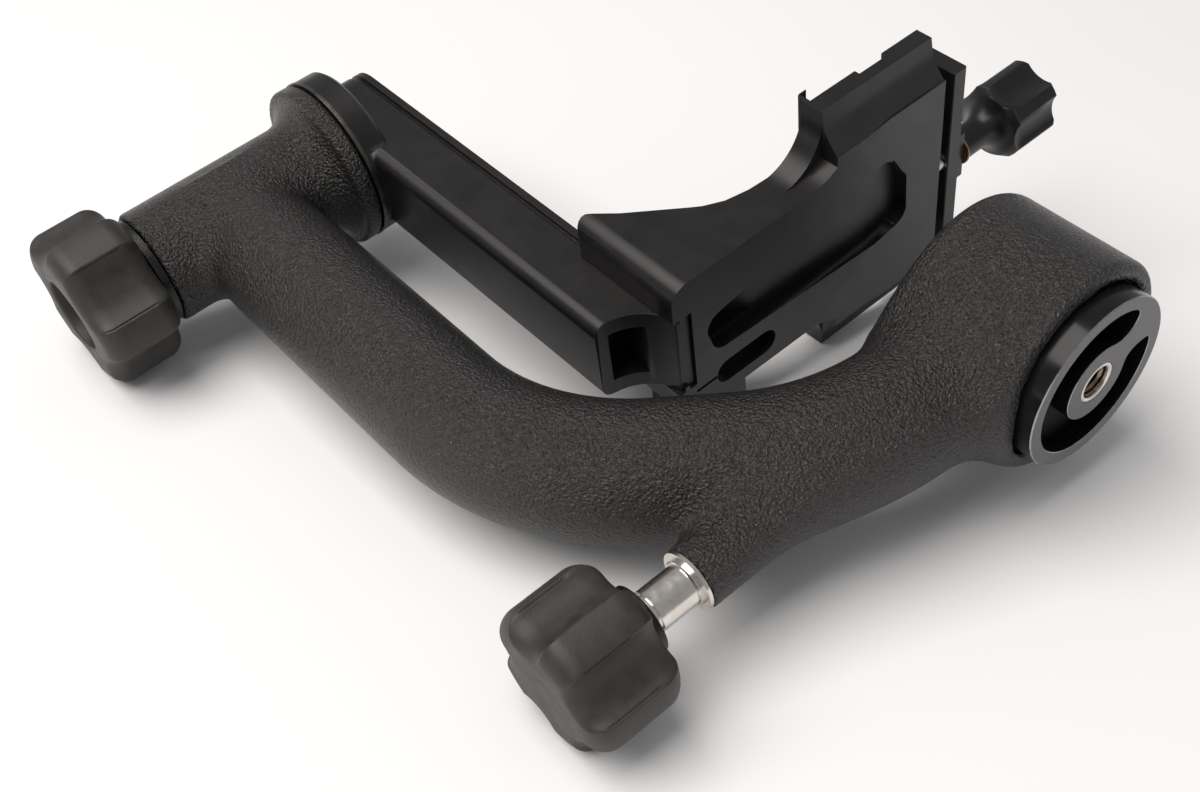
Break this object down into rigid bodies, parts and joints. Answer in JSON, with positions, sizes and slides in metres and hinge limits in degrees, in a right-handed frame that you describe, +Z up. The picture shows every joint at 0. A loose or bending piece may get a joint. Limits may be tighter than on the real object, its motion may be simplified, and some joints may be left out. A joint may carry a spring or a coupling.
{
  "type": "gimbal tripod head",
  "caption": "Gimbal tripod head: a bent arm turns on a pan base and carries a hanging swing arm with a height-adjustable clamp platform for a long lens.",
  "frame": {"origin": "centre of the base disc's bottom face, where the tripod screw enters", "axes": "+Z up along the pan axis; +X along the tilt axis, from the tilt knob towards the clamp knob; +Y along the clamp's groove"},
  "size_m": [0.2581, 0.0896, 0.2474],
  "materials": {
    "casting": "wrinkle-finish black powder coat, satin",
    "black_anodised": "black anodised, satin",
    "base_anodised": "anodised, satin grey face with glossy black side",
    "polished_steel": "polished",
    "steel": "machined",
    "ring_metal": "satin, bare",
    "dark_steel": "blackened",
    "knob_plastic": "satin charcoal, slightly rubbery",
    "brass": "machined"
  },
  "bodies": {
    "pan_base": {"base_disc": "base_anodised", "thread_insert": "polished_steel", "pan_spindle": "dark_steel", "pan_spring_washer": "steel", "pan_lock_nut": "dark_steel"},
    "c_arm": {"c_arm": "casting", "housing_cap": "black_anodised", "pan_bearing_lower": "steel", "pan_bearing_upper": "steel", "pan_lock_bush": "polished_steel", "tilt_bearing_inner": "steel", "tilt_bearing_outer": "steel"},
    "pan_shoe": {"pan_brake_shoe": "brass"},
    "pan_knob": {"pan_lock_knob": "knob_plastic", "pan_lock_shaft": "polished_steel", "pan_knob_collar": "knob_plastic"},
    "swing_arm": {"swing_arm": "black_anodised", "tilt_axle": "dark_steel", "axle_screws": "steel", "hub_ring": "ring_metal", "tilt_lock_nut": "dark_steel"},
    "tilt_washer": {"tilt_brake_washer": "dark_steel"},
    "tilt_knob": {"tilt_knob": "knob_plastic", "tilt_knob_insert": "brass"},
    "platform": {"platform": "black_anodised", "travel_pin": "steel", "pinch_screw": "dark_steel"},
    "moving_jaw": {"moving_jaw": "black_anodised", "jaw_guide_pins": "steel", "clamp_washer": "brass"},
    "clamp_knob": {"clamp_knob": "black_anodised", "clamp_screw": "steel", "clamp_clip": "steel"}
  },
  "joints": [
    {"name": "pan", "type": "hinge", "parent": "pan_base", "child": "c_arm", "pos_m": [0, 0, 0.028], "axis": [0, 0, 1], "continuous": true},
    {"name": "pan_shoe_slide", "type": "slide", "parent": "c_arm", "child": "pan_shoe", "axis": [1, 0, 0], "range_m": [-0.00074, 0.00112]},
    {"name": "pan_knob_turn", "type": "hinge", "parent": "pan_shoe", "child": "pan_knob", "pos_m": [-0.14, 0, 0.0282], "axis": [1, 0, 0], "range_deg": [-180, 270]},
    {"name": "tilt", "type": "hinge", "parent": "c_arm", "child": "swing_arm", "pos_m": [-0.12, 0, 0.221], "axis": [1, 0, 0], "continuous": true},
    {"name": "tilt_washer_slide", "type": "slide", "parent": "swing_arm", "child": "tilt_washer", "axis": [1, 0, 0], "range_m": [-0.00174, 0.00043]},
    {"name": "tilt_knob_turn", "type": "hinge", "parent": "tilt_washer", "child": "tilt_knob", "pos_m": [-0.17, 0, 0.221], "axis": [1, 0, 0], "range_deg": [-360, 90]},
    {"name": "platform_slide", "type": "slide", "parent": "swing_arm", "child": "platform", "axis": [0, 0, 1], "range_m": [0, 0.112]},
    {"name": "jaw_slide", "type": "slide", "parent": "platform", "child": "moving_jaw", "axis": [-1, 0, 0], "range_m": [-0.00037, 0.00324]},
    {"name": "clamp_knob_turn", "type": "hinge", "parent": "moving_jaw", "child": "clamp_knob", "pos_m": [0.07, 0, 0.086], "axis": [-1, 0, 0], "range_deg": [-90, 780]}
  ],
  "couplings": [
    {"joint": "pan_knob_turn", "follows": "pan_shoe_slide", "rad_per_m": 4188.8},
    {"joint": "tilt_knob_turn", "follows": "tilt_washer_slide", "rad_per_m": 3590.4},
    {"joint": "clamp_knob_turn", "follows": "jaw_slide", "rad_per_m": 4188.8}
  ]
}
